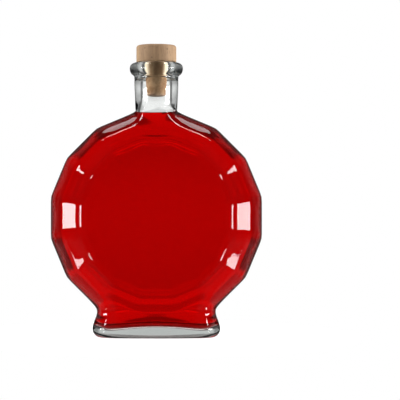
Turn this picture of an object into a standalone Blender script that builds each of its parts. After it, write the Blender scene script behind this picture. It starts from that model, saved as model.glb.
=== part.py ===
"""A round faceted glass flask on an oval foot, filled with a red drink and shut with a T-shaped cork stopper.

The flask's flat front looks along -Y and it stands on z = 0. Its body is a thick disc with sixteen
facets round it. Every size below is in millimetres, and the objects are made in metres.
"""

import math

import bmesh
import bpy

MM = 0.001

# The body: a sixteen-sided disc whose axis runs from front to back.
SIDES = 16
BODY_CENTRE_Z = 73.0
HALF_STEP = math.pi / SIDES

# Half of the body's outline from the front panel to the edge: distance from the disc's axis to the middle
# of a side, distance in front of the middle plane, and how sharp the ring's own edge is.
GLASS_RINGS = [
    (45.2, 22.0, 3.2),
    (46.3, 21.4, 3.2),
    (48.7, 20.8, 1.8),
    (57.0, 16.6, 2.6),
    (63.6, 9.3, 0.0),
    (66.0, 0.0, 0.0),
]
CAVITY_RINGS = [
    (44.0, 19.0, 1.4),
    (54.6, 14.0, 1.2),
    (59.9, 7.9, 0.0),
    (62.4, 0.0, 0.0),
]
GLASS_SIDE_SHARPNESS = (2.3, 3.0)
CAVITY_SIDE_SHARPNESS = (1.3, 2.6)
JOIN_SHARPNESS = 1.0

# The neck, the rounded lip and the bore: radius and height of each ring.
NECK_SIDES = 10
NECK_OUTSIDE = [
    (13.0, 141.6),
    (13.1, 146.5),
    (13.5, 153.0),
    (13.5, 158.6),
    (13.6, 160.6),
    (15.3, 161.2),
    (16.5, 163.6),
    (16.3, 167.2),
    (13.5, 168.5),
    (11.5, 168.5),
]
MOUTH = [
    (8.7, 168.5),
    (7.6, 168.1),
    (7.6, 161.2),
    (7.95, 159.6),
    (9.5, 158.4),
]
NECK_INSIDE = [
    (9.3, 142.0),
    (9.3, 150.0),
]

# The foot: half width, half depth, corner radius and height of each ring, downwards, and for the cavity's
# lowest ring how much higher it runs in the middle of the front and the back.
FOOT_OUTSIDE = [
    (36.5, 17.4, 13.5, 13.6),
    (39.9, 20.2, 15.0, 7.2),
    (39.8, 20.2, 15.0, 2.2),
]
FOOT_BEARING_OUTER = (36.6, 17.4, 13.0, 0.0)
FOOT_BEARING_INNER = (31.0, 12.6, 10.5, 0.0)
FOOT_PUSH_UP = (24.0, 7.5, 6.0, 2.2)
FOOT_INSIDE = [
    (33.6, 14.0, 11.5, 14.0),
    (36.4, 16.4, 13.4, 8.4),
    (34.4, 14.4, 12.0, 3.0, 2.6),
]
FOOT_INSIDE_HUMP = (17.0, 5.5, 4.5, 6.6)

LIQUID_LEVEL_Z = 136.6
CLEARANCE = 0.5

# The stopper: a wide turned grip on a tapered cork.
GRIP_RADIUS = 12.3
GRIP_BOTTOM_Z = 168.8
GRIP_TOP_Z = 179.2
GRIP_TOP_ROUND = 1.6
GRIP_FOOT_ROUND = 0.5
CORK_TOP_Z = 168.5
CORK_END_Z = 148.1
CORK_TOP_RADIUS = 7.3
CORK_END_RADIUS = 5.9
CORK_END_ROUND = 1.7
STOPPER_STEPS = 40
ROUND_STEPS = 4

# Subdivision: the faces of each solid, and the bend below which neighbouring faces become one.
SUBDIVISION_LEVELS = 2
FLAT_WITHIN = math.radians(4.0)


def clear_scene():
    """Removes whatever the file opened with."""
    for found in list(bpy.data.objects):
        bpy.data.objects.remove(found)


def principled(name, colour, roughness, transmission=0.0):
    """A material with the part's colour and gloss."""
    material = bpy.data.materials.new(name)
    material.use_nodes = True
    shader = material.node_tree.nodes["Principled BSDF"]
    shader.inputs["Base Color"].default_value = (*colour, 1.0)
    shader.inputs["Roughness"].default_value = roughness
    shader.inputs["Metallic"].default_value = 0.0
    shader.inputs["Transmission Weight"].default_value = transmission
    return material


def crease_of(sharpness):
    """The edge crease that stays sharp for this many subdivisions."""
    return math.sqrt(sharpness / 10)


def body_shell(bm, rings, side_sharpness):
    """Spins half the body's outline, mirrored to the back, into the sixteen-sided disc."""
    crease = bm.edges.layers.float.new("crease_edge")
    on_faces, round_edge = side_sharpness
    front_to_back = [(r, -y, s) for r, y, s in rings] + [(r, y, s) for r, y, s in reversed(rings[:-1])]
    outline = []
    for apothem, depth, _ in front_to_back:
        corner = apothem / math.cos(HALF_STEP)
        x, z = corner * math.sin(HALF_STEP), BODY_CENTRE_Z + corner * math.cos(HALF_STEP)
        outline.append(bm.verts.new((x * MM, depth * MM, z * MM)))
    edges = [bm.edges.new(pair) for pair in zip(outline, outline[1:])]
    bmesh.ops.spin(
        bm,
        geom=outline + edges,
        cent=(0, 0, BODY_CENTRE_Z * MM),
        axis=(0, 1, 0),
        angle=math.tau,
        steps=SIDES,
        use_merge=True,
    )
    bmesh.ops.remove_doubles(bm, verts=bm.verts, dist=0.01 * MM)
    for edge in bm.edges:
        depths = [round(vertex.co.y / MM, 3) for vertex in edge.verts]
        if depths[0] == depths[1]:
            edge[crease] = crease_of(next(s for _, y, s in front_to_back if abs(y - depths[0]) < 0.01))
        else:
            outer = max(abs(y) for y in depths) < rings[-2][1] + 0.01
            edge[crease] = crease_of(round_edge if outer else on_faces)
    for depth in (front_to_back[0][1], front_to_back[-1][1]):
        rim = [e for e in bm.edges if e.is_boundary and all(abs(v.co.y - depth * MM) < 1e-6 for v in e.verts)]
        bmesh.ops.contextual_create(bm, geom=rim)
    return crease


def open_edge_band(bm, crease, edge_depth, share_of_turn, upwards):
    """Takes the edge band's faces away round the top or the bottom, and returns the loop that is left open."""
    way = 1 if upwards else -1
    doomed = []
    for face in bm.faces:
        centre = face.calc_center_median()
        turn = math.atan2(abs(centre.x), way * (centre.z - BODY_CENTRE_Z * MM))
        if turn < share_of_turn and abs(centre.y) < edge_depth * MM:
            doomed.append(face)
    bmesh.ops.delete(bm, geom=doomed, context="FACES")
    loop = [e for e in bm.edges if e.is_boundary and way * (e.verts[0].co.z - BODY_CENTRE_Z * MM) > 0]
    for edge in loop:
        edge[crease] = crease_of(JOIN_SHARPNESS)
    return loop


def in_order(loop):
    """The loop's points, anticlockwise from above, starting at the +X side."""
    points = {vertex for edge in loop for vertex in edge.verts}
    return sorted(points, key=lambda v: math.atan2(v.co.y, v.co.x) % (math.tau - 1e-4))


def extrude_to(bm, loop, places):
    """Extrudes an open loop once, puts its points at these places, and returns the new loop."""
    made = bmesh.ops.extrude_edge_only(bm, edges=loop)["geom"]
    edges = [item for item in made if isinstance(item, bmesh.types.BMEdge) and item.is_boundary]
    for vertex, place in zip(in_order(edges), places):
        vertex.co = [MM * value for value in place]
    return edges


def circle(radius, z):
    """The points of a neck ring whose subdivided form has this radius."""
    step = math.tau / NECK_SIDES
    drawn_in = 2 / 3 + math.cos(step) / 3
    reach = radius / drawn_in
    return [(reach * math.cos(i * step), reach * math.sin(i * step), z) for i in range(NECK_SIDES)]


def rounded_oblong(half_width, half_depth, corner, z, middle_rise=0.0):
    """The fourteen points of a foot ring: an oblong with round corners, raised in its middle if need be."""
    straight_x, straight_y = half_width - corner, half_depth - corner
    quarter = [(half_width, 0.0)]
    for angle in (math.radians(24), math.radians(60)):
        quarter.append((straight_x + corner * math.cos(angle), straight_y + corner * math.sin(angle)))
    quarter.append((0.3 * half_width, half_depth))
    upper = quarter + [(-x, y) for x, y in reversed(quarter)]
    lower = [(x, -y) for x, y in reversed(upper[1:-1])]
    return [(x, y, z + (middle_rise if abs(x) < 0.5 * half_width else 0.0)) for x, y in upper + lower]


def flask_surface(bm, rings, side_sharpness, neck, foot):
    """The body with its neck and foot rings. It returns the open loops at the neck's and the foot's ends."""
    crease = body_shell(bm, rings, side_sharpness)
    edge_depth = rings[-3][1]
    neck_loop = open_edge_band(bm, crease, edge_depth, HALF_STEP, upwards=True)
    foot_loop = open_edge_band(bm, crease, edge_depth, 3 * HALF_STEP, upwards=False)
    for radius, z in neck:
        neck_loop = extrude_to(bm, neck_loop, circle(radius, z))
    for ring in foot:
        foot_loop = extrude_to(bm, foot_loop, rounded_oblong(*ring))
    return crease, neck_loop, foot_loop


def close_loop(bm, loop):
    """Fills an open loop with one face."""
    bmesh.ops.contextual_create(bm, geom=loop)


def shrunk(rings, by):
    """The cavity's body rings drawn in, so that what fills it stays clear of the glass."""
    return [(r - by, max(y - by, 0.0), s) for r, y, s in rings]


def to_object(bm, name, material, collection):
    """A mesh object from the cage, with its subdivision and with its flat faces joined."""
    bmesh.ops.recalc_face_normals(bm, faces=bm.faces)
    mesh = bpy.data.meshes.new(name)
    bm.to_mesh(mesh)
    bm.free()
    mesh.materials.append(material)
    thing = bpy.data.objects.new(name, mesh)
    collection.objects.link(thing)
    smooth = thing.modifiers.new("Smooth", "SUBSURF")
    smooth.levels = smooth.render_levels = SUBDIVISION_LEVELS
    flats = thing.modifiers.new("Flats", "DECIMATE")
    flats.decimate_type = "DISSOLVE"
    flats.angle_limit = FLAT_WITHIN
    return thing


def make_bottle(collection, material):
    """The glass: its outside and its cavity, joined round the mouth."""
    bm = bmesh.new()
    outer_foot = [*FOOT_OUTSIDE, FOOT_BEARING_OUTER]
    crease, lip, sole = flask_surface(bm, GLASS_RINGS, GLASS_SIDE_SHARPNESS, NECK_OUTSIDE, outer_foot)
    for edge in sole:
        edge[crease] = 1.0
    sole = extrude_to(bm, sole, rounded_oblong(*FOOT_BEARING_INNER))
    for edge in sole:
        edge[crease] = 1.0
    sole = extrude_to(bm, sole, rounded_oblong(*FOOT_PUSH_UP))
    close_loop(bm, sole)
    for radius, z in MOUTH:
        lip = extrude_to(bm, lip, circle(radius, z))
    outside = bpy.data.meshes.new("outside")
    bm.to_mesh(outside)
    bm.free()

    bm = bmesh.new()
    _, neck, floor = flask_surface(bm, CAVITY_RINGS, CAVITY_SIDE_SHARPNESS, NECK_INSIDE, FOOT_INSIDE)
    floor = extrude_to(bm, floor, rounded_oblong(*FOOT_INSIDE_HUMP))
    close_loop(bm, floor)
    bm.from_mesh(outside)
    bpy.data.meshes.remove(outside)
    bmesh.ops.bridge_loops(bm, edges=[edge for edge in bm.edges if edge.is_boundary])
    return to_object(bm, "bottle", material, collection)


def make_liquid(collection, material):
    """The drink: the cavity's form a little smaller, up to its level at the foot of the neck."""
    bm = bmesh.new()
    rings = shrunk(CAVITY_RINGS, CLEARANCE)
    foot = [(w - CLEARANCE, d - CLEARANCE, c, z + CLEARANCE, *rise) for w, d, c, z, *rise in FOOT_INSIDE]
    crease, top, floor = flask_surface(bm, rings, CAVITY_SIDE_SHARPNESS, [], foot)
    half_width, half_depth, corner, z = FOOT_INSIDE_HUMP
    hump = (half_width - CLEARANCE, half_depth - CLEARANCE, corner, z + CLEARANCE)
    floor = extrude_to(bm, floor, rounded_oblong(*hump))
    close_loop(bm, floor)
    top = extrude_to(bm, top, circle(NECK_INSIDE[0][0] - CLEARANCE, LIQUID_LEVEL_Z))
    for edge in top:
        edge[crease] = 1.0
    close_loop(bm, top)
    return to_object(bm, "liquid", material, collection)


def arc(centre_r, centre_z, radius, start, end):
    """Points of a round edge in a turned profile, angles in degrees from +radius towards +z."""
    angles = [math.radians(start + (end - start) * i / ROUND_STEPS) for i in range(ROUND_STEPS + 1)]
    return [(centre_r + radius * math.cos(a), centre_z + radius * math.sin(a)) for a in angles]


def turned(name, profile, material, collection):
    """A solid of revolution from a profile that runs down its outer side, top to bottom, at +X."""
    mesh = bpy.data.meshes.new(name)
    points = [(radius * MM, 0.0, z * MM) for radius, z in profile]
    mesh.from_pydata(points, [(i, i + 1) for i in range(len(points) - 1)], [])
    mesh.materials.append(material)
    thing = bpy.data.objects.new(name, mesh)
    collection.objects.link(thing)
    screw = thing.modifiers.new("Turn", "SCREW")
    screw.axis = "Z"
    screw.steps = screw.render_steps = STOPPER_STEPS
    screw.use_merge_vertices = True
    screw.merge_threshold = 0.00001
    screw.use_smooth_shade = True
    return thing


def make_stopper(collection, wood, cork):
    """The grip that rests on the lip, and the cork under it that sits in the bore."""
    top = arc(GRIP_RADIUS - GRIP_TOP_ROUND, GRIP_TOP_Z - GRIP_TOP_ROUND, GRIP_TOP_ROUND, 90, 0)
    foot = arc(GRIP_RADIUS - GRIP_FOOT_ROUND, GRIP_BOTTOM_Z + GRIP_FOOT_ROUND, GRIP_FOOT_ROUND, 0, -90)
    grip = [(0.0, GRIP_TOP_Z), *top, *foot, (0.0, GRIP_BOTTOM_Z)]
    turned("stopper_grip", grip, wood, collection)
    end = arc(CORK_END_RADIUS - CORK_END_ROUND, CORK_END_Z + CORK_END_ROUND, CORK_END_ROUND, 0, -90)
    shank = [(0.0, CORK_TOP_Z), (CORK_TOP_RADIUS, CORK_TOP_Z), *end, (0.0, CORK_END_Z)]
    turned("stopper_cork", shank, cork, collection)


def main():
    """Builds the flask, the drink and the stopper in one collection."""
    clear_scene()
    collection = bpy.data.collections.new("glass_bottle")
    bpy.context.scene.collection.children.link(collection)
    glass = principled("clear_glass", (0.93, 0.95, 0.94), 0.02, transmission=1.0)
    drink = principled("red_drink", (0.42, 0.0, 0.0), 0.03, transmission=0.6)
    wood = principled("grip_wood", (0.40, 0.24, 0.13), 0.6)
    cork = principled("cork", (0.36, 0.20, 0.10), 0.8)
    make_bottle(collection, glass)
    make_liquid(collection, drink)
    make_stopper(collection, wood, cork)


main()
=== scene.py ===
"""Looks of a round faceted glass flask, filled with a red drink and shut with a wood and cork stopper.

Lengths are in millimetres where a comment doesn't say otherwise, and become metres as a mesh is made.
"""

import logging
import math
from collections.abc import Callable, Iterable
from dataclasses import dataclass, field
from enum import Enum
from typing import Any

import bmesh
import bpy
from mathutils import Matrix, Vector, noise


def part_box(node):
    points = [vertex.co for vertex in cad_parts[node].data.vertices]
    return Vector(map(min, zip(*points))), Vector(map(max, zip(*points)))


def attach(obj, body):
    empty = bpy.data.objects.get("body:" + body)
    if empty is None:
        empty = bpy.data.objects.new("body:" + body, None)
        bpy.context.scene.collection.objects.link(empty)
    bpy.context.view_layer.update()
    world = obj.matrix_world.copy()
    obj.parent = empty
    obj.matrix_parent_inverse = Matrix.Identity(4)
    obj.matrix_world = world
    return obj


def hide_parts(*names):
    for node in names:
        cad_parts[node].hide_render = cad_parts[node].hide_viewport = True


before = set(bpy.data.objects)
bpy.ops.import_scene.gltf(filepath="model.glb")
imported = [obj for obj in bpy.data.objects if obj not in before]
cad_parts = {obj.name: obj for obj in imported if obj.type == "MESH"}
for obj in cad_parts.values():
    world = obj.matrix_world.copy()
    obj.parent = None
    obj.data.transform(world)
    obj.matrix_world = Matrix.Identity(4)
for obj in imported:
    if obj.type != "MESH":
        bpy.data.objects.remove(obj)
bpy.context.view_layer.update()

log = logging.getLogger("flask")

MM = 0.001
SIDES = 16
HALF_STEP = math.pi / SIDES
NEAR = 1e-6
NEARLY_A_TURN = math.tau - 1e-4
FOOT_CORNER_TURNS = (24.0, 60.0)
FOOT_FRONT_SHARE = 0.3
FOOT_MIDDLE_SHARE = 0.5
Point = tuple[float, float, float]
Ends = tuple[float, float]
Socket = bpy.types.NodeSocket
Thing = bpy.types.Object


class Slot(Enum):
    """The record's material slots."""

    GLASS = "clear_glass"
    DRINK = "red_drink"
    WOOD = "grip_wood"
    CORK = "cork"


class Node(Enum):
    """The solids that the finished pieces stand for."""

    BOTTLE = "bottle"
    LIQUID = "liquid"
    GRIP = "stopper_grip"
    CORK = "stopper_cork"

    def low(self) -> Vector:
        """The solid's lowest corner, in millimetres."""
        return Vector(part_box(self.value)[0]) / MM

    def high(self) -> Vector:
        """The solid's highest corner, in millimetres."""
        return Vector(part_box(self.value)[1]) / MM


# Shader maths


class Value:
    """A number in a node tree, so that shader maths reads as Python."""

    def __init__(self, paint: "Paint", socket: Socket) -> None:
        """Wraps a socket.

        Args:
            paint: The tree that the socket is in.
            socket: The output that gives the number.
        """
        self.paint = paint
        self.socket = socket

    def maths(self, operation: str, *values: Any) -> "Value":
        """Adds a Math node.

        Args:
            operation: Its operation.
            values: Its inputs in order, numbers or Values.

        Returns:
            The result.
        """
        made = self.paint.add("ShaderNodeMath", {"operation": operation}, dict(enumerate(values)))
        return Value(self.paint, made.outputs[0])

    def __add__(self, other: Any) -> "Value":
        """Sum."""
        return self.maths("ADD", self, other)

    def __sub__(self, other: Any) -> "Value":
        """Difference."""
        return self.maths("SUBTRACT", self, other)

    def __rsub__(self, other: Any) -> "Value":
        """Difference from a number."""
        return self.maths("SUBTRACT", other, self)

    def __mul__(self, other: Any) -> "Value":
        """Product."""
        return self.maths("MULTIPLY", self, other)

    def size(self) -> "Value":
        """The number without its sign."""
        return self.maths("ABSOLUTE", self)

    def __gt__(self, other: Any) -> "Value":
        """One where this is greater, else zero."""
        return self.maths("GREATER_THAN", self, other)

    __radd__ = __add__
    __rmul__ = __mul__

    def within(self, low: float, high: float) -> "Value":
        """Eases from zero at low to one at high.

        Args:
            low: The number that gives zero.
            high: The number that gives one.

        Returns:
            The eased number, never outside zero to one.
        """
        made = self.paint.add(
            "ShaderNodeMapRange",
            {"interpolation_type": "SMOOTHSTEP"},
            {"Value": self, "From Min": low, "From Max": high, "To Min": 0.0, "To Max": 1.0},
        )
        return Value(self.paint, made.outputs["Result"])

    def between(self, ends: Ends) -> "Value":
        """Eases from zero to one between two places of a piece.

        Args:
            ends: The places in millimetres, that of zero first.

        Returns:
            The eased number.
        """
        return self.within(ends[0] * MM, ends[1] * MM)


class Paint:
    """A node tree under construction."""

    def __init__(self, tree: bpy.types.NodeTree) -> None:
        """Empties the tree.

        Args:
            tree: The tree to fill.
        """
        self.tree = tree
        tree.nodes.clear()

    def add(
        self,
        kind: str,
        settings: dict[str, Any] | None = None,
        inputs: dict[Any, Any] | None = None,
    ) -> bpy.types.Node:
        """Adds a node, sets it up and then feeds it.

        Args:
            kind: The node's type.
            settings: Its own settings, set first.
            inputs: Its sockets, by name or number, and the value or link of each.

        Returns:
            The node.
        """
        made = self.tree.nodes.new(kind)
        for name, setting in (settings or {}).items():
            setattr(made, name, setting)
        for name, value in (inputs or {}).items():
            if isinstance(value, Value):
                value = value.socket
            if isinstance(value, Socket):
                self.tree.links.new(value, made.inputs[name])
            else:
                made.inputs[name].default_value = value
        return made

    def place(self, stretch: Point = (1.0, 1.0, 1.0)) -> Socket:
        """The piece's own coordinates, stretched for a grain.

        Args:
            stretch: What each axis is multiplied by.

        Returns:
            The vector socket.
        """
        coordinates = self.add("ShaderNodeTexCoord").outputs["Object"]
        mapping = self.add("ShaderNodeMapping", None, {"Vector": coordinates, "Scale": stretch})
        return mapping.outputs["Vector"]

    def axes(self, where: Socket) -> tuple[Value, Value, Value]:
        """Takes a vector apart.

        Args:
            where: The vector socket.

        Returns:
            Its X, Y and Z.
        """
        parts = self.add("ShaderNodeSeparateXYZ", None, {"Vector": where}).outputs
        return Value(self, parts["X"]), Value(self, parts["Y"]), Value(self, parts["Z"])

    def noise(self, where: Socket, scale: float, detail: float = 2.0, rough: float = 0.5) -> Value:
        """Soft noise.

        Args:
            where: The coordinates.
            scale: Lumps in a metre.
            detail: Octaves.
            rough: How strong the fine octaves are.

        Returns:
            The noise, about one half on average.
        """
        made = self.add(
            "ShaderNodeTexNoise",
            None,
            {"Vector": where, "Scale": scale, "Detail": detail, "Roughness": rough},
        )
        return Value(self, made.outputs[0])

    def cells(self, where: Socket, scale: float) -> Value:
        """Distance to the nearest of many scattered points.

        Args:
            where: The coordinates.
            scale: Cells in a metre.

        Returns:
            The distance in cells.
        """
        made = self.add("ShaderNodeTexVoronoi", {"feature": "F1"}, {"Vector": where, "Scale": scale})
        return Value(self, made.outputs["Distance"])

    def mix(self, share: Any, first: Any, second: Any) -> Socket:
        """Mixes two colours.

        Args:
            share: How much of the second.
            first: A colour or a colour socket.
            second: A colour or a colour socket.

        Returns:
            The mixed colour.
        """
        made = self.add(
            "ShaderNodeMix",
            {"data_type": "RGBA"},
            {"Factor": share, 6: opaque(first), 7: opaque(second)},
        )
        return made.outputs[2]

    def bump(self, height: Value, depth: float) -> Socket:
        """A relief too fine to be modelled.

        Args:
            height: From zero to one.
            depth: The relief's depth in millimetres.

        Returns:
            The normal.
        """
        made = self.add("ShaderNodeBump", None, {"Height": height, "Distance": depth * MM, "Strength": 1.0})
        return made.outputs["Normal"]

    def take_light(self, passes: Point, density: float) -> None:
        """Lets the material's inside take up light.

        Args:
            passes: The colour that it takes up least.
            density: How much it takes up in a metre.
        """
        inputs = {"Color": opaque(passes), "Density": density}
        depths = self.add("ShaderNodeVolumeAbsorption", None, inputs)
        output = next(node for node in self.tree.nodes if node.type == "OUTPUT_MATERIAL")
        self.tree.links.new(depths.outputs["Volume"], output.inputs["Volume"])


def opaque(colour: Any) -> Any:
    """A colour with its alpha, or a socket as it is."""
    return (*colour, 1.0) if isinstance(colour, tuple) and len(colour) == 3 else colour


class Finish:
    """A material that a piece can wear."""

    slot: Slot

    def shade(self, paint: Paint, shader: bpy.types.Node) -> None:
        """Feeds the shader, and is written by each finish."""
        raise NotImplementedError

    def material(self) -> bpy.types.Material:
        """Makes the finish's material.

        Returns:
            The material, named for its slot.
        """
        made = bpy.data.materials.new(f"{self.slot.value}_finish")
        made.use_nodes = True
        paint = Paint(made.node_tree)
        output = paint.add("ShaderNodeOutputMaterial")
        shader = paint.add("ShaderNodeBsdfPrincipled")
        paint.tree.links.new(shader.outputs["BSDF"], output.inputs["Surface"])
        self.shade(paint, shader)
        return made


@dataclass(frozen=True)
class ClearGlass(Finish):
    """Clear pressed glass, faintly grey, with a mould's slow waves and a hazy outside to its lip."""

    slot: Slot = Slot.GLASS
    colour: Point = (0.982, 0.988, 0.984)
    refraction: float = 1.5
    wave_scale: float = 55.0
    wave_depth: float = 0.10
    ripple_scale: float = 260.0
    ripple_depth: float = 0.012
    smear_roughness: float = 0.012
    lip_foot: Ends = (157.0, 158.5)
    lip_outside: Ends = (9.5, 12.0)
    lip_roughness: float = 0.32
    density: float = 30.0
    passes: Point = (0.42, 0.46, 0.44)

    def shade(self, paint: Paint, shader: bpy.types.Node) -> None:
        """Feeds the shader.

        Args:
            paint: The material's tree.
            shader: Its Principled shader.
        """
        shader.inputs["Base Color"].default_value = opaque(self.colour)
        shader.inputs["Transmission Weight"].default_value = 1.0
        shader.inputs["IOR"].default_value = self.refraction
        where = paint.place()
        waves = paint.noise(where, self.wave_scale, 1.0)
        ripples = paint.noise(where, self.ripple_scale, 2.0)
        share = self.ripple_depth / self.wave_depth
        paint.tree.links.new(paint.bump(waves + ripples * share, self.wave_depth), shader.inputs["Normal"])
        smears = paint.noise(where, self.wave_scale / 2, 3.0).within(0.45, 0.8)
        along, _, height = paint.axes(where)
        lip = along.size().between(self.lip_outside) * height.between(self.lip_foot)
        roughness = smears * self.smear_roughness + lip * self.lip_roughness
        paint.tree.links.new(roughness.socket, shader.inputs["Roughness"])
        paint.take_light(self.passes, self.density)


@dataclass(frozen=True)
class RedDrink(Finish):
    """A clear red drink, which takes up green and blue at once and red slowly.

    Against glass it mirrors little, so its mirroring is toned down.
    """

    slot: Slot = Slot.DRINK
    refraction: float = 1.345
    mirrors: Point = (0.15, 0.0, 0.0)
    density: float = 400.0
    passes: Point = (0.9625, 0.0, 0.0)

    def shade(self, paint: Paint, shader: bpy.types.Node) -> None:
        """Feeds the shader.

        Args:
            paint: The material's tree.
            shader: Its Principled shader.
        """
        shader.inputs["Base Color"].default_value = opaque((1.0, 1.0, 1.0))
        shader.inputs["Transmission Weight"].default_value = 1.0
        shader.inputs["IOR"].default_value = self.refraction
        shader.inputs["Specular Tint"].default_value = opaque(self.mirrors)
        shader.inputs["Roughness"].default_value = 0.0
        paint.take_light(self.passes, self.density)


@dataclass(frozen=True)
class TurnedWood(Finish):
    """Pale turned wood with an upright grain, fine pores and a few specks."""

    slot: Slot = Slot.WOOD
    pale: Point = (0.52, 0.335, 0.185)
    deep: Point = (0.36, 0.215, 0.115)
    speck: Point = (0.15, 0.085, 0.045)
    grain_scale: float = 420.0
    grain_stretch: float = 0.09
    pore_stretch: float = 0.2
    relief: float = 0.10

    def shade(self, paint: Paint, shader: bpy.types.Node) -> None:
        """Feeds the shader.

        Args:
            paint: The material's tree.
            shader: Its Principled shader.
        """
        along = paint.place((1.0, 1.0, self.grain_stretch))
        broad = paint.noise(along, self.grain_scale / 3, 3.0, 0.6).within(0.3, 0.7)
        fine = paint.noise(along, self.grain_scale * 3, 3.0, 0.65).within(0.35, 0.68)
        short = paint.place((1.0, 1.0, self.pore_stretch))
        pores = paint.noise(short, self.grain_scale * 4, 1.0).within(0.66, 0.74)
        specks = 1 - paint.cells(paint.place(), self.grain_scale / 2).within(0.10, 0.16)
        colour = paint.mix(broad * 0.6 + fine * 0.4, self.deep, self.pale)
        colour = paint.mix(pores * 0.45, colour, opaque(self.speck))
        colour = paint.mix(specks * 0.5, colour, opaque(self.speck))
        paint.tree.links.new(colour, shader.inputs["Base Color"])
        paint.tree.links.new((0.72 - fine * 0.12).socket, shader.inputs["Roughness"])
        grain = fine * 0.6 + (1 - pores) * 0.4
        paint.tree.links.new(paint.bump(grain, self.relief), shader.inputs["Normal"])
        shader.inputs["Specular IOR Level"].default_value = 0.3


@dataclass(frozen=True)
class MottledCork(Finish):
    """Natural cork: soft mottled grains, darker pits and streaks across.

    Its end is worn pale. Its middle carries painted shade, and behind the lip a deeper painted shade in the
    middle and painted light on the sides.
    """

    slot: Slot = Slot.CORK
    pale: Point = (0.43, 0.265, 0.14)
    deep: Point = (0.25, 0.13, 0.06)
    pit: Point = (0.08, 0.04, 0.02)
    worn: Point = (0.42, 0.34, 0.29)
    # The next three colours are painted light: shade on the middle, deeper shade behind the lip's middle,
    # and light on the sides there.
    painted_shade: Point = (0.13, 0.085, 0.045)
    painted_lip_shade: Point = (0.11, 0.062, 0.03)
    painted_lip_light: Point = (1.0, 0.84, 0.62)
    worn_end: Ends = (147.5, 150.5)
    # The next four places say where the painted shade and light fall.
    painted_shade_middle: Ends = (0.8, 4.0)
    behind_lip_foot: Ends = (160.9, 161.5)
    painted_lip_shade_middle: Ends = (0.0, 4.0)
    painted_lip_light_sides: Ends = (3.0, 5.5)
    grain_scale: float = 700.0
    streak_stretch: Point = (0.35, 0.35, 1.6)
    relief: float = 0.15

    def shade(self, paint: Paint, shader: bpy.types.Node) -> None:
        """Feeds the shader.

        Args:
            paint: The material's tree.
            shader: Its Principled shader.
        """
        where = paint.place()
        grains = paint.noise(where, self.grain_scale, 4.0, 0.6).within(0.32, 0.68)
        patches = paint.noise(where, self.grain_scale / 4, 2.0).within(0.35, 0.65)
        streaks = paint.noise(paint.place(self.streak_stretch), self.grain_scale / 2, 2.0).within(0.62, 0.72)
        along, _, height = paint.axes(where)
        aside = along.size()
        colour = paint.mix(grains * 0.55 + patches * 0.45, self.deep, self.pale)
        worn = 1 - height.between(self.worn_end)
        colour = paint.mix(worn * 0.5, colour, opaque(self.worn))
        # Painted shade: the middle of the cork, front and back, is darkened, more so towards the lip, as
        # side lighting leaves it.
        shade = height.between((self.worn_end[1], self.behind_lip_foot[1])) * 0.2 + 0.42
        colour = paint.mix((1 - aside.between(self.painted_shade_middle)) * shade, colour, opaque(self.painted_shade))
        # Painted light behind the lip: deeper painted shade in the cork's middle for the lip's shading, and
        # painted cream light on its sides where the lip focuses light.
        behind_lip = height.between(self.behind_lip_foot)
        painted_lip_shade_share = behind_lip * (1 - aside.between(self.painted_lip_shade_middle)) * 0.85
        colour = paint.mix(painted_lip_shade_share, colour, opaque(self.painted_lip_shade))
        colour = paint.mix(behind_lip * aside.between(self.painted_lip_light_sides), colour, opaque(self.painted_lip_light))
        colour = paint.mix(streaks * 0.7, colour, opaque(self.pit))
        paint.tree.links.new(colour, shader.inputs["Base Color"])
        paint.tree.links.new((0.85 - grains * 0.1).socket, shader.inputs["Roughness"])
        paint.tree.links.new(paint.bump(grains - streaks * 0.6, self.relief), shader.inputs["Normal"])
        shader.inputs["Specular IOR Level"].default_value = 0.2


# Modelling


def pick(*things: Thing) -> None:
    """Selects these objects and no others, and makes the last of them the active one.

    Args:
        things: The objects.
    """
    bpy.ops.object.select_all(action="DESELECT")
    for thing in things:
        thing.select_set(True)
    bpy.context.view_layer.objects.active = things[-1]


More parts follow.
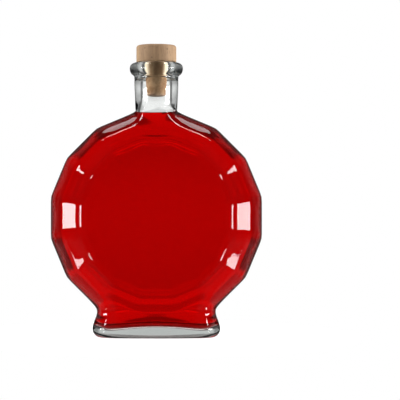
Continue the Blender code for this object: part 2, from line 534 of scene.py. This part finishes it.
class Bench:
    """An object in edit mode, whose geometry is picked by place and shaped with operators."""

    def __init__(self, thing: Thing) -> None:
        """Takes the object to work on."""
        self.thing = thing

    def __enter__(self) -> "Bench":
        """Opens edit mode on this object alone."""
        pick(self.thing)
        bpy.ops.object.mode_set(mode="EDIT")
        return self

    def __exit__(self, *problem: Any) -> None:
        """Closes edit mode."""
        bpy.ops.object.mode_set(mode="OBJECT")

    def mesh(self) -> bmesh.types.BMesh:
        """The mesh in edit mode."""
        return bmesh.from_edit_mesh(self.thing.data)

    def _pick(self, mode: str, parts: str, test: Callable[[Any], bool]) -> int:
        """Selects only the parts that pass a test.

        Args:
            mode: The selection mode.
            parts: Which of the mesh's sequences.
            test: The test.

        Returns:
            How many were picked.
        """
        bpy.ops.mesh.select_mode(type=mode)
        bpy.ops.mesh.select_all(action="DESELECT")
        picked = [part for part in getattr(self.mesh(), parts) if test(part)]
        for part in picked:
            part.select_set(True)
        bmesh.update_edit_mesh(self.thing.data)
        return len(picked)

    def verts(self, test: Callable[[bmesh.types.BMVert], bool]) -> int:
        """Picks points."""
        return self._pick("VERT", "verts", test)

    def edges(self, test: Callable[[bmesh.types.BMEdge], bool]) -> int:
        """Picks edges."""
        return self._pick("EDGE", "edges", test)

    def faces(self, test: Callable[[bmesh.types.BMFace], bool]) -> int:
        """Picks faces."""
        return self._pick("FACE", "faces", test)

    def crease(self, sharpness: float) -> None:
        """Keeps the picked edges sharp, whatever they were before.

        Args:
            sharpness: For how many subdivisions, which is ten times the square of the crease.
        """
        bpy.ops.transform.edge_crease(value=-1.0)
        bpy.ops.transform.edge_crease(value=math.sqrt(sharpness / 10.0))

    def extrude_loop(self, places: Iterable[Point]) -> None:
        """Extrudes the picked open loop and lays its new points in these places.

        Args:
            places: The points in millimetres, anticlockwise from above from the +X side.
        """
        bpy.ops.mesh.extrude_edges_move()
        loop = [vert for vert in self.mesh().verts if vert.select]
        loop.sort(key=lambda vert: math.atan2(vert.co.y, vert.co.x) % NEARLY_A_TURN)
        for vert, place in zip(loop, places, strict=True):
            vert.co = Vector(place) * MM
        bmesh.update_edit_mesh(self.thing.data)


def finish_mesh(thing: Thing, levels: int) -> None:
    """Subdivides a cage and shades it smooth.

    Args:
        thing: The cage, which becomes the finished form.
        levels: How often it is subdivided.
    """
    pick(thing)
    smooth = thing.modifiers.new("Smooth", "SUBSURF")
    smooth.levels = smooth.render_levels = levels
    bpy.ops.object.modifier_apply(modifier=smooth.name)
    bpy.ops.object.shade_smooth()


def settle(thing: Thing, name: str) -> None:
    """Names a piece and moves its place, turn and scale into its mesh.

    Args:
        thing: The piece.
        name: Its name.
    """
    thing.name = thing.data.name = name
    pick(thing)
    bpy.ops.object.transform_apply(location=True, rotation=True, scale=True)


def dress(thing: Thing, finish: Finish, *stands_for: Node) -> None:
    """Gives a finished piece its material and its place in the frame.

    Args:
        thing: The piece.
        finish: What it wears.
        stands_for: The solids that it replaces.
    """
    thing.data.materials.clear()
    thing.data.materials.append(finish.material())
    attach(thing, "root")
    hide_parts(*(node.value for node in stands_for))
    thing.data.calc_loop_triangles()
    log.info("%s: %d triangles, wears %s", thing.name, len(thing.data.loop_triangles), finish.slot.value)


# The flask


@dataclass(frozen=True)
class BodyRing:
    """A ring of the sixteen-sided body, both in front of the middle plane and behind it."""

    apothem: float
    depth: float
    sharpness: float = 0.0


def smoothed_reach(wanted: float, neighbour: float) -> float:
    """How far out a cage's middle ring stands, so that the smoothed body is as wide as the solid.

    A cage ring of apothem b, between two of apothem a, is smoothed to (2 a + 4 b) / 6.

    Args:
        wanted: The smoothed body's half width.
        neighbour: The apothem of the rings on both sides of it.

    Returns:
        The cage ring's apothem.
    """
    return (6 * wanted - 2 * neighbour) / 4


@dataclass(frozen=True)
class NeckRing:
    """A round ring of the neck."""

    radius: float
    height: float
    sharpness: float = 0.0

    def points(self, count: int) -> list[Point]:
        """The cage's points, set out so that the smoothed ring has the radius.

        Args:
            count: How many points the ring has.

        Returns:
            The points, from the +X side.
        """
        step = math.tau / count
        reach = self.radius / (2 / 3 + math.cos(step) / 3)
        return [(reach * math.cos(i * step), reach * math.sin(i * step), self.height) for i in range(count)]


@dataclass(frozen=True)
class FootRing:
    """A ring of the foot: an oblong with round corners."""

    half_width: float
    half_depth: float
    corner: float
    height: float
    sharpness: float = 0.0
    middle_rise: float = 0.0

    def points(self, count: int) -> list[Point]:
        """The cage's fourteen points.

        Args:
            count: How many points the loop has, which is checked.

        Returns:
            The points, from the +X side.
        """
        straight_x, straight_y = self.half_width - self.corner, self.half_depth - self.corner
        quarter = [(self.half_width, 0.0)]
        for turn in map(math.radians, FOOT_CORNER_TURNS):
            x = straight_x + self.corner * math.cos(turn)
            quarter.append((x, straight_y + self.corner * math.sin(turn)))
        quarter.append((FOOT_FRONT_SHARE * self.half_width, self.half_depth))
        upper = quarter + [(-x, y) for x, y in reversed(quarter)]
        lower = [(x, -y) for x, y in reversed(upper[1:-1])]
        if len(upper + lower) != count:
            raise ValueError(f"the foot's loop has {count} points")
        middle = FOOT_MIDDLE_SHARE * self.half_width
        raised = self.height + self.middle_rise
        return [(x, y, raised if abs(x) < middle else self.height) for x, y in upper + lower]


@dataclass
class FlaskSkin:
    """A skin of the flask as a cage: the body is a faceted disc, the neck and the foot grow out of its edge.

    The ridges between its sides have one sharpness on the faces and another round the edge.
    """

    body: tuple[BodyRing, ...]
    side_sharpness: tuple[float, float]
    neck: tuple[NeckRing, ...]
    foot: tuple[FootRing, ...]
    centre_height: float = 73.0
    join_sharpness: float = 1.0
    foot_facets: int = 3

    def cage(self) -> Thing:
        """Models the cage.

        Returns:
            The cage, open at the end of its neck and closed under its foot.
        """
        middle, edge = self.body[-1], self.body[-2]
        centre = Vector((0.0, 0.0, self.centre_height * MM))
        bpy.ops.mesh.primitive_cylinder_add(
            vertices=SIDES,
            radius=edge.apothem / math.cos(HALF_STEP) * MM,
            depth=2 * edge.depth * MM,
            end_fill_type="NGON",
            location=centre,
            rotation=(math.pi / 2, 0.0, 0.0),
        )
        cage = bpy.context.active_object
        settle(cage, "flask_cage")
        with Bench(cage) as bench:
            bpy.ops.mesh.select_all(action="SELECT")
            bpy.ops.transform.rotate(value=HALF_STEP, orient_axis="Y", center_override=centre)
            self._round_the_edge(bench, centre, middle.apothem / edge.apothem)
            self._step_the_faces(bench, centre)
            self._crease_the_body(bench)
            self._open_and_grow(bench, centre.z)
        return cage

    def _round_the_edge(self, bench: Bench, centre: Vector, reach: float) -> None:
        """Halves the disc's edge and draws its middle out.

        Args:
            bench: The cage's bench.
            centre: The disc's centre in metres.
            reach: How far out the middle goes, as a share of the edge.
        """
        bench.edges(lambda edge: edge.verts[0].co.y * edge.verts[1].co.y < 0)
        bpy.ops.mesh.subdivide(number_cuts=1)
        bench.verts(lambda vert: abs(vert.co.y) < NEAR)
        bpy.ops.transform.resize(value=(reach, 1.0, reach), center_override=centre)

    def _step_the_faces(self, bench: Bench, centre: Vector) -> None:
        """Extrudes the front and the back together, ring by ring.

        Args:
            bench: The cage's bench.
            centre: The disc's centre in metres.
        """
        bench.faces(lambda face: abs(face.normal.y) > 0.9)
        rings = self.body[:-1]
        for ring, before in zip(reversed(rings[:-1]), reversed(rings[1:])):
            bpy.ops.mesh.extrude_region_move()
            shrink = ring.apothem / before.apothem
            bpy.ops.transform.resize(
                value=(shrink, ring.depth / before.depth, shrink),
                center_override=centre,
            )

    def _crease_the_body(self, bench: Bench) -> None:
        """Sharpens the ridges between the sides, and the rings that the body has edges at.

        Args:
            bench: The cage's bench.
        """
        on_faces, round_edge = self.side_sharpness
        outer = self.body[-2].depth * MM + NEAR

        def ridge(edge: bmesh.types.BMEdge) -> bool:
            """Whether an edge runs from ring to ring."""
            return abs(edge.verts[0].co.y - edge.verts[1].co.y) > NEAR

        bench.edges(ridge)
        bench.crease(on_faces)
        bench.edges(lambda edge: ridge(edge) and all(abs(vert.co.y) < outer for vert in edge.verts))
        bench.crease(round_edge)
        for ring in self.body:
            depth = ring.depth * MM
            bench.edges(lambda edge: all(abs(abs(vert.co.y) - depth) < NEAR for vert in edge.verts))
            bench.crease(ring.sharpness)

    def _open_and_grow(self, bench: Bench, centre: float) -> None:
        """Takes the edge's facets away at the top and at the bottom, and grows the neck and the foot there.

        Args:
            bench: The cage's bench.
            centre: The disc's centre's height in metres.
        """
        band = self.body[-3].depth * MM
        for way, facets, rings in ((1, 1, self.neck), (-1, self.foot_facets, self.foot)):
            reach = facets * HALF_STEP

            def doomed(face: bmesh.types.BMFace) -> bool:
                """Whether a facet lies where the neck or the foot grows out.

                Args:
                    face: The facet.

                Returns:
                    True where it does.
                """
                middle = face.calc_center_median()
                turn = math.atan2(abs(middle.x), way * (middle.z - centre))
                return abs(middle.y) < band and turn < reach

            bench.faces(doomed)
            bpy.ops.mesh.delete(type="FACE")
            count = bench.edges(lambda edge: edge.is_boundary and way * (edge.verts[0].co.z - centre) > 0)
            bench.crease(self.join_sharpness)
            for ring in rings:
                bench.extrude_loop(ring.points(count))
                bench.crease(ring.sharpness)
            if way < 0:
                bpy.ops.mesh.edge_face_add()


@dataclass
class GlassFlask:
    """The glass: its outer skin and its cavity, joined round the mouth."""

    finish: Finish = field(default_factory=ClearGlass)
    levels: int = 3
    skin: FlaskSkin = field(
        default_factory=lambda: FlaskSkin(
            body=(
                BodyRing(45.2, Node.BOTTLE.high().y, 3.2),
                BodyRing(46.3, 21.4, 3.2),
                BodyRing(48.7, 20.8, 1.8),
                BodyRing(57.0, 16.6, 2.6),
                BodyRing(63.6, 9.3),
                BodyRing(smoothed_reach(Node.BOTTLE.high().x, 63.6), 0.0),
            ),
            side_sharpness=(2.3, 3.0),
            neck=(
                NeckRing(13.0, 141.6),
                NeckRing(13.1, 146.5),
                NeckRing(13.5, 153.0),
                NeckRing(13.5, 158.6),
                NeckRing(13.6, 160.6),
                NeckRing(15.3, 161.2),
                NeckRing(16.5, 163.6),
                NeckRing(16.3, 167.2),
                NeckRing(13.5, 168.5),
                NeckRing(11.5, 168.5),
                NeckRing(8.7, 168.5),
                NeckRing(7.6, 168.1),
                NeckRing(7.6, 161.2),
                NeckRing(7.95, 159.6),
                NeckRing(9.5, 158.4),
            ),
            foot=(
                FootRing(36.5, 17.4, 13.5, 13.6),
                FootRing(39.9, 20.2, 15.0, 7.2),
                FootRing(39.8, 20.2, 15.0, 2.2),
                FootRing(36.6, 17.4, 13.0, 0.0, 1.5),
                FootRing(31.0, 12.6, 10.5, 0.0, 1.5),
                FootRing(24.0, 7.5, 6.0, 2.2),
            ),
        )
    )

    def build(self, cavity: FlaskSkin) -> Thing:
        """Models the glass.

        Args:
            cavity: The cavity's skin.

        Returns:
            The finished piece.
        """
        inside = cavity.cage()
        outside = self.skin.cage()
        pick(inside, outside)
        bpy.ops.object.join()
        with Bench(outside) as bench:
            bench.edges(lambda edge: edge.is_boundary)
            bpy.ops.mesh.bridge_edge_loops()
            bpy.ops.mesh.select_all(action="SELECT")
            bpy.ops.mesh.normals_make_consistent(inside=False)
        finish_mesh(outside, self.levels)
        settle(outside, "flask_glass")
        dress(outside, self.finish, Node.BOTTLE)
        return outside


@dataclass
class Drink:
    """The drink, which fills the cavity and reaches just into the glass."""

    finish: Finish = field(default_factory=RedDrink)
    levels: int = 3
    into_glass: float = 0.12
    meniscus_rise: float = 0.5
    meniscus_reach: float = 1.6
    meniscus_steps: int = 5

    def build(self, cavity: FlaskSkin) -> Thing:
        """Models the drink.

        Args:
            cavity: The cavity's skin.

        Returns:
            The finished piece.
        """
        drink = cavity.cage()
        with Bench(drink) as bench:
            bench.edges(lambda edge: edge.is_boundary)
            bpy.ops.mesh.edge_face_add()
            bpy.ops.mesh.select_all(action="SELECT")
            bpy.ops.mesh.normals_make_consistent(inside=False)
        finish_mesh(drink, self.levels)
        level = Node.LIQUID.high().z
        with Bench(drink) as bench:
            bpy.ops.mesh.select_all(action="SELECT")
            bpy.ops.transform.shrink_fatten(value=self.into_glass * MM)
            self._cut_to(bench, level + self.meniscus_rise)
            self._hollow_the_top(bench, level)
        settle(drink, "red_drink_fill")
        dress(drink, self.finish, Node.LIQUID)
        return drink

    def _cut_to(self, bench: Bench, height: float) -> None:
        """Cuts off all that stands above a height.

        Args:
            bench: The drink's bench.
            height: The height in millimetres.
        """
        bpy.ops.mesh.select_all(action="SELECT")
        bpy.ops.mesh.bisect(plane_co=(0.0, 0.0, height * MM), plane_no=(0.0, 0.0, 1.0), clear_outer=True)
        bench.edges(lambda edge: edge.is_boundary)

    def _hollow_the_top(self, bench: Bench, level: float) -> None:
        """Lays the surface, which climbs the glass at its rim.

        Args:
            bench: The drink's bench, with the cut's rim picked.
            level: The height of its flat middle in millimetres.
        """
        rim = max(vert.co.x for vert in bench.mesh().verts if vert.select) / MM
        steps = self.meniscus_steps
        now = rim
        height = level + self.meniscus_rise
        for step in range(1, steps + 1):
            inwards = rim - self.meniscus_reach * step / steps
            fall = level + self.meniscus_rise * (1 - step / steps) ** 2
            down = (0.0, 0.0, (fall - height) * MM)
            bpy.ops.mesh.extrude_edges_move(TRANSFORM_OT_translate={"value": down})
            shrink = inwards / now
            bpy.ops.transform.resize(value=(shrink, shrink, 1.0), center_override=(0.0, 0.0, fall * MM))
            now, height = inwards, fall
        bpy.ops.mesh.edge_face_add()


# The stopper


def add_turned(name: str, profile: list[tuple[float, float]], steps: int) -> Thing:
    """Turns a profile about the Z axis: a circle is added and extruded from point to point.

    Args:
        name: The piece's name.
        profile: Radius and height of each point, from the bottom up. Both ends are closed flat.
        steps: How many sides it has.

    Returns:
        The turned piece.
    """
    radius, height = profile[0]
    bpy.ops.mesh.primitive_circle_add(
        vertices=steps,
        radius=radius * MM,
        fill_type="NGON",
        location=(0.0, 0.0, height * MM),
    )
    thing = bpy.context.active_object
    settle(thing, name)
    with Bench(thing) as bench:
        bench.faces(lambda face: True)
        for (before, low), (after, high) in zip(profile, profile[1:]):
            rise = (0.0, 0.0, (high - low) * MM)
            bpy.ops.mesh.extrude_region_move(TRANSFORM_OT_translate={"value": rise})
            grow = after / before
            bpy.ops.transform.resize(value=(grow, grow, 1.0), center_override=(0.0, 0.0, high * MM))
        bpy.ops.mesh.select_all(action="SELECT")
        bpy.ops.mesh.normals_make_consistent(inside=False)
    return thing


def arc(centre: Ends, bend: float, start: float, end: float, steps: int) -> list[tuple[float, float]]:
    """Points of a round edge in a profile.

    Args:
        centre: How far the bend's centre is from the axis, and how high.
        bend: Its radius.
        start: Its first angle in degrees, from outwards to upwards.
        end: Its last angle.
        steps: How many stretches it has.

    Returns:
        Radius and height of each point.
    """
    radius, height = centre
    turns = [math.radians(start + (end - start) * step / steps) for step in range(steps + 1)]
    return [(radius + bend * math.cos(turn), height + bend * math.sin(turn)) for turn in turns]


@dataclass
class Stopper:
    """The stopper: a turned wooden grip glued on a tapered cork."""

    wood: Finish = field(default_factory=TurnedWood)
    cork: Finish = field(default_factory=MottledCork)
    steps: int = 96
    grip_top_round: float = 1.6
    grip_foot_round: float = 0.5
    grip_bands: int = 12
    grip_rings: tuple[float, ...] = (0.8, 0.6, 0.4, 0.2, 0.05)
    cork_end_round: float = 1.7
    cork_taper: float = 1.4
    cork_bands: int = 16
    dent_depth: float = 0.10
    grip_dents: float = 260.0
    cork_dents: float = 420.0
    smooth_under: float = 40.0

    def build(self) -> list[Thing]:
        """Models both pieces.

        Returns:
            The grip and the cork.
        """
        return [self._grip(), self._cork()]

    def _grip(self) -> Thing:
        """Models the grip.

        Returns:
            The finished piece.
        """
        low, high = Node.GRIP.low(), Node.GRIP.high()
        radius = high.x
        foot_bend, top_bend = self.grip_foot_round, self.grip_top_round
        foot = arc((radius - foot_bend, low.z + foot_bend), foot_bend, -90, 0, 4)
        top = arc((radius - top_bend, high.z - top_bend), top_bend, 0, 90, 8)
        start, bands = foot[-1][1], self.grip_bands
        tall = top[0][1] - start
        side = [(radius, start + tall * i / bands) for i in range(1, bands)]
        inner = [(radius * share, high.z) for share in self.grip_rings]
        grip = add_turned("wooden_grip", [*foot, *side, *top, *inner], self.steps)
        self._roughen(grip, self.grip_dents)
        dress(grip, self.wood, Node.GRIP)
        return grip

    def _cork(self) -> Thing:
        """Models the cork.

        Returns:
            The finished piece.
        """
        low, high = Node.CORK.low(), Node.CORK.high()
        top_radius = high.x
        end_radius = top_radius - self.cork_taper
        bend = self.cork_end_round
        end = arc((end_radius - bend, low.z + bend), bend, -90, 0, 6)
        start, bands = end[-1][1], self.cork_bands
        tall = high.z - start
        side = [
            (end_radius + self.cork_taper * i / bands, start + tall * i / bands)
            for i in range(1, bands + 1)
        ]
        cork = add_turned("cork_shank", [*end, *side], self.steps)
        self._roughen(cork, self.cork_dents)
        dress(cork, self.cork, Node.CORK)
        return cork

    def _roughen(self, thing: Thing, scale: float) -> None:
        """Presses shallow dents into a piece's surface and shades it.

        Args:
            thing: The piece.
            scale: Dents in a metre.
        """
        for vert in thing.data.vertices:
            lump = max(0.0, noise.noise(vert.co * scale))
            vert.co -= vert.normal * lump * self.dent_depth * MM
        pick(thing)
        bpy.ops.object.shade_smooth_by_angle(angle=math.radians(self.smooth_under))


# The studio


@dataclass(frozen=True)
class Photograph:
    """How the photograph was taken. Its side and the flask's axis in it are in pixels."""

    side: float = 400.0
    axis_column: float = 156.35
    mm_per_pixel: float = 0.6165
    eye_height: float = 83.93
    distance: float = 950.0
    sensor: float = 36.0

    def add_camera(self) -> None:
        """Adds the level camera in front of the flask, which its shift puts left of the middle."""
        x, y, z = 0.0, -self.distance * MM, self.eye_height * MM
        bpy.ops.object.camera_add(location=(x, y, z), rotation=(math.pi / 2, 0.0, 0.0))
        camera = bpy.context.active_object
        lens = camera.data
        lens.sensor_width = self.sensor
        lens.lens = self.sensor * self.distance / (self.side * self.mm_per_pixel)
        lens.shift_x = (self.side / 2 - self.axis_column) / self.side
        lens.clip_start = 0.01
        lens.dof.use_dof = False
        bpy.context.scene.camera = camera


@dataclass(frozen=True)
class Softbox:
    """A soft light, seen in what mirrors it and not by the camera.

    Its angles are in degrees, and its distance, size and the height that it aims at in metres.
    """

    name: str
    azimuth: float
    elevation: float
    distance: float
    width: float
    height: float
    radiance: float
    aim_height: float = 0.09

    def add(self) -> None:
        """Adds the light, aimed at the flask. Azimuth 0 is the camera's side, and 90 the flask's right."""
        turn, lift = math.radians(self.azimuth), math.radians(self.elevation)
        away = Vector((math.sin(turn) * math.cos(lift), -math.cos(turn) * math.cos(lift), math.sin(lift)))
        place = away * self.distance + Vector((0.0, 0.0, self.aim_height))
        bpy.ops.object.light_add(type="AREA", location=place)
        lamp = bpy.context.active_object
        lamp.name = self.name
        lamp.rotation_euler = away.to_track_quat("Z", "Y").to_euler()
        lamp.data.shape = "RECTANGLE"
        lamp.data.size = self.width
        lamp.data.size_y = self.height
        lamp.data.energy = self.radiance * math.pi * self.width * self.height
        lamp.visible_camera = False
        lamp.visible_transmission = False
        lamp.visible_diffuse = False


@dataclass(frozen=True)
class Ray:
    """What the surroundings know of a ray that reaches them, as numbers in the world's tree."""

    along: Value
    across: Value
    up: Value
    matt: Value
    mirror: Value
    through: Value
    one_wall: Value

    @classmethod
    def read(cls, paint: Paint) -> "Ray":
        """Adds the nodes that read a ray.

        Args:
            paint: The world's tree.

        Returns:
            The ray: how far it points to the flask's right, to its back and upwards, then ones or zeros for
            whether a matt thing sent it on, something mirrored it, it went through glass, and it went
            through one wall alone. Across both walls, and mostly the drink, it meets four surfaces or more.
        """
        path = paint.add("ShaderNodeLightPath").outputs
        crossings = Value(paint, path["Transmission Depth"])
        along, across, up = paint.axes(paint.add("ShaderNodeTexCoord").outputs["Generated"])
        return cls(
            along=along,
            across=across,
            up=up,
            matt=Value(paint, path["Diffuse Depth"]) > 0.5,
            mirror=Value(paint, path["Glossy Depth"]) > 0.5,
            through=crossings > 0.5,
            one_wall=1 - (crossings > 3.5),
        )


@dataclass(frozen=True)
class Studio:
    """The bright plain surroundings, the pale floor and the softboxes."""

    backdrop: float = 1.0
    aslant: float = 0.45
    low: float = 0.78
    ambient: float = 0.10
    sides: float = 4.5
    overhead: float = 1.2
    inside: float = 2.2
    mirrored: float = 0.01
    neck_glow: float = 0.95
    drink_glow: float = 0.3
    front_glow: float = 0.03
    under_glow: float = 0.7
    white: Point = (1.0, 1.0, 1.0)
    floor_radius: float = 125.0
    floor_colour: Point = (0.5, 0.5, 0.5)
    floor_glow: float = 0.8
    softboxes: tuple[Softbox, ...] = (
        Softbox("left_softbox", -64.0, 0.5, 1.0, 0.44, 0.13, 18.0),
        Softbox("right_softbox", 64.0, 0.5, 1.0, 0.44, 0.16, 15.5),
        Softbox("left_inner_softbox", -51.0, 0.5, 1.0, 0.05, 0.14, 14.0),
        Softbox("right_inner_softbox", 51.0, 0.5, 1.0, 0.05, 0.14, 14.0),
        Softbox("left_high_softbox", -56.0, 24.5, 1.0, 0.08, 0.14, 14.0),
        Softbox("right_high_softbox", 55.5, 24.5, 1.0, 0.11, 0.14, 14.0),
        Softbox("left_low_softbox", -56.5, -25.0, 1.0, 0.07, 0.14, 14.0),
        Softbox("right_low_softbox", 55.0, -25.0, 1.0, 0.10, 0.14, 14.0),
        Softbox("left_shoulder_softbox", -62.7, 50.7, 1.0, 0.07, 0.10, 9.0),
        Softbox("right_shoulder_softbox", 62.7, 50.7, 1.0, 0.07, 0.10, 9.0),
        Softbox("left_front_top_softbox", -58.0, 64.0, 1.0, 0.12, 0.26, 10.0),
        Softbox("right_front_top_softbox", 58.0, 64.0, 1.0, 0.12, 0.26, 10.0),
        Softbox("left_back_top_softbox", -127.0, 62.0, 1.0, 0.2, 0.2, 3.5),
        Softbox("right_back_top_softbox", 127.0, 62.0, 1.0, 0.2, 0.2, 3.5),
    )

    def build(self) -> None:
        """Builds the studio."""
        self._surroundings()
        self._floor()
        for softbox in self.softboxes:
            softbox.add()
        bpy.context.scene.view_settings.view_transform = "Standard"

    def _surroundings(self) -> None:
        """Makes the world: white behind the glass, softer for matt things, dark in what mirrors it."""
        world = bpy.data.worlds.new("studio")
        world.use_nodes = True
        bpy.context.scene.world = world
        paint = Paint(world.node_tree)
        ray = Ray.read(paint)
        sharp = 1 - ray.matt
        seen = self._seen(ray) * sharp * (1 - ray.mirror)
        mirrored = self._mirrored(ray) * sharp * ray.mirror
        strength = seen + mirrored + self._on_matt(ray) * ray.matt
        sky = paint.add("ShaderNodeBackground", None, {"Color": opaque(self.white), "Strength": strength})
        output = paint.add("ShaderNodeOutputWorld")
        paint.tree.links.new(sky.outputs[0], output.inputs["Surface"])
        world.cycles.sampling_method = "NONE"

    def _seen(self, ray: Ray) -> Value:
        """How bright the surroundings are to a ray that wasn't mirrored.

        Through the flask they are darker at steep slants and, through one wall, below the middle.

        Args:
            ray: The ray.

        Returns:
            The brightness.
        """
        slant = (ray.along * ray.across).size() * 2
        aslant = slant.within(0.80, 0.95) * (self.aslant - 1)
        low = ray.one_wall * (1 - ray.up.within(-0.10, 0.04)) * (self.low - 1)
        drink = (1 - ray.one_wall) * (self._through_drink(ray) - 1)
        return self.backdrop * (1 + ray.through * aslant) * (1 + ray.through * (low + drink))

    def _through_drink(self, ray: Ray) -> Value:
        """How bright the surroundings are through both walls and the drink.

        Each facet bends the view by its own angle, so a ray's slope tells which facets it went through.

        Args:
            ray: The ray.

        Returns:
            The share of the plain brightness.
        """
        aside, up = ray.along.size(), ray.up
        looks_down = 1 - up.within(-0.15, -0.10)
        panel = up.within(-0.09, 0.03) * 0.18 - 0.15 + looks_down * 0.18
        ring = (1 - up.within(-0.14, -0.10)) * up.within(-0.19, -0.16)
        ring = ring * (1 - aside.within(0.06, 0.10)) * 0.4
        dip = up.within(-0.02, 0.06) * (1 - up.within(0.11, 0.14)) * (1 - aside.within(0.05, 0.15)) * -0.18
        facets = up.within(0.11, 0.16) * 0.16 - up.within(0.23, 0.31) * 0.4
        waist = (1 - up.within(-0.385, -0.345)) * -0.58
        sides = aside.within(0.40, 0.45) * (up.within(0.05, 0.15) * 0.55 + 0.2)
        edge = aside.within(0.14, 0.24) * (1 - up.within(-0.40, -0.30)) * 0.55
        return (1 + ring + panel + dip + facets + waist) * (1 - sides - edge)

    def _mirrored(self, ray: Ray) -> Value:
        """How bright the surroundings are to a ray that was mirrored on its way.

        The outside of the flask mirrors a dark room. The inside of the glass, at the neck, the lip and the
        foot, mirrors what is bright behind the flask and under it.

        Args:
            ray: The ray.

        Returns:
            The brightness.
        """
        aside, steep = ray.along.size(), ray.up.size()
        straight = (1 - aside.within(0.1, 0.3)) * (1 - steep.within(0.04, 0.15))
        level = 1 - steep.within(0.08, 0.16)
        slanted = steep.within(0.25, 0.4) * aside.within(0.2, 0.4)
        grazing = (1 - aside.within(0.78, 0.88) * 0.8) * (1 - slanted * 0.8)
        behind = ray.across.within(0.15, 0.4) * (1 - straight * 0.42) * (0.6 + level * 0.4)
        behind = behind * (0.25 + ray.one_wall * 0.75) * grazing
        towards = (0 - ray.across).within(0.2, 0.5)
        outwards = aside.within(0.3, 0.5)
        under = (0 - ray.up).within(0.15, 0.4) * (1 - towards * (1 - outwards)) * (1 - slanted * 0.7)
        under = under * (0.3 + ray.across.within(-0.1, 0.1) * 0.7)
        drink = (1 - ray.one_wall) * ray.across.within(0.3, 0.6)
        glow = behind * self.neck_glow + under * self.under_glow
        glow = glow + drink * self.drink_glow + towards * outwards * self.front_glow
        return self.mirrored + ray.through * glow

    def _on_matt(self, ray: Ray) -> Value:
        """How bright the surroundings are to a matt surface, which is lit from both sides and from above.

        Args:
            ray: The ray.

        Returns:
            The brightness, greater behind glass, which gathers light.
        """
        sides = ray.along.size().within(0.65, 1.0) * (self.sides * (1 + ray.along * 0.15))
        above = ray.up.within(0.5, 0.95) * self.overhead
        return (self.ambient + sides + above) * (1 + ray.through * (self.inside - 1))

    def _floor(self) -> None:
        """Lays the pale floor."""
        bpy.ops.object.select_all(action="DESELECT")
        bpy.ops.mesh.primitive_circle_add(vertices=96, radius=self.floor_radius * MM, fill_type="NGON")
        floor = bpy.context.active_object
        floor.name = "floor"
        pale = bpy.data.materials.new("pale_floor")
        pale.use_nodes = True
        shader = pale.node_tree.nodes["Principled BSDF"]
        shader.inputs["Base Color"].default_value = opaque(self.floor_colour)
        shader.inputs["Roughness"].default_value = 0.9
        shader.inputs["Specular IOR Level"].default_value = 0.0
        shader.inputs["Emission Color"].default_value = opaque(self.white)
        shader.inputs["Emission Strength"].default_value = self.floor_glow
        floor.data.materials.append(pale)
        floor.visible_glossy = False
        floor.visible_transmission = False


def cavity_skin() -> FlaskSkin:
    """The skin of the flask's cavity, which the glass and the drink share.

    Returns:
        The skin, open at the neck's end.
    """
    return FlaskSkin(
        body=(
            BodyRing(44.0, 19.0, 1.4),
            BodyRing(54.6, 14.0, 1.2),
            BodyRing(59.9, 7.9),
            BodyRing(62.4, 0.0),
        ),
        side_sharpness=(1.3, 2.6),
        neck=(NeckRing(9.3, 142.0), NeckRing(9.3, 150.0)),
        foot=(
            FootRing(33.6, 14.0, 11.5, 14.0),
            FootRing(36.4, 16.4, 13.4, 8.4),
            FootRing(34.4, 14.4, 12.0, 3.0, middle_rise=2.6),
            FootRing(17.0, 5.5, 4.5, 6.6),
        ),
    )


def main() -> None:
    """Builds the flask, the drink, the stopper and the studio."""
    logging.basicConfig(level=logging.INFO, format="%(name)s: %(message)s")
    bpy.ops.object.select_all(action="DESELECT")
    GlassFlask().build(cavity_skin())
    Drink().build(cavity_skin())
    Stopper().build()
    Studio().build()
    Photograph().add_camera()


if __name__ == "__main__":
    main()
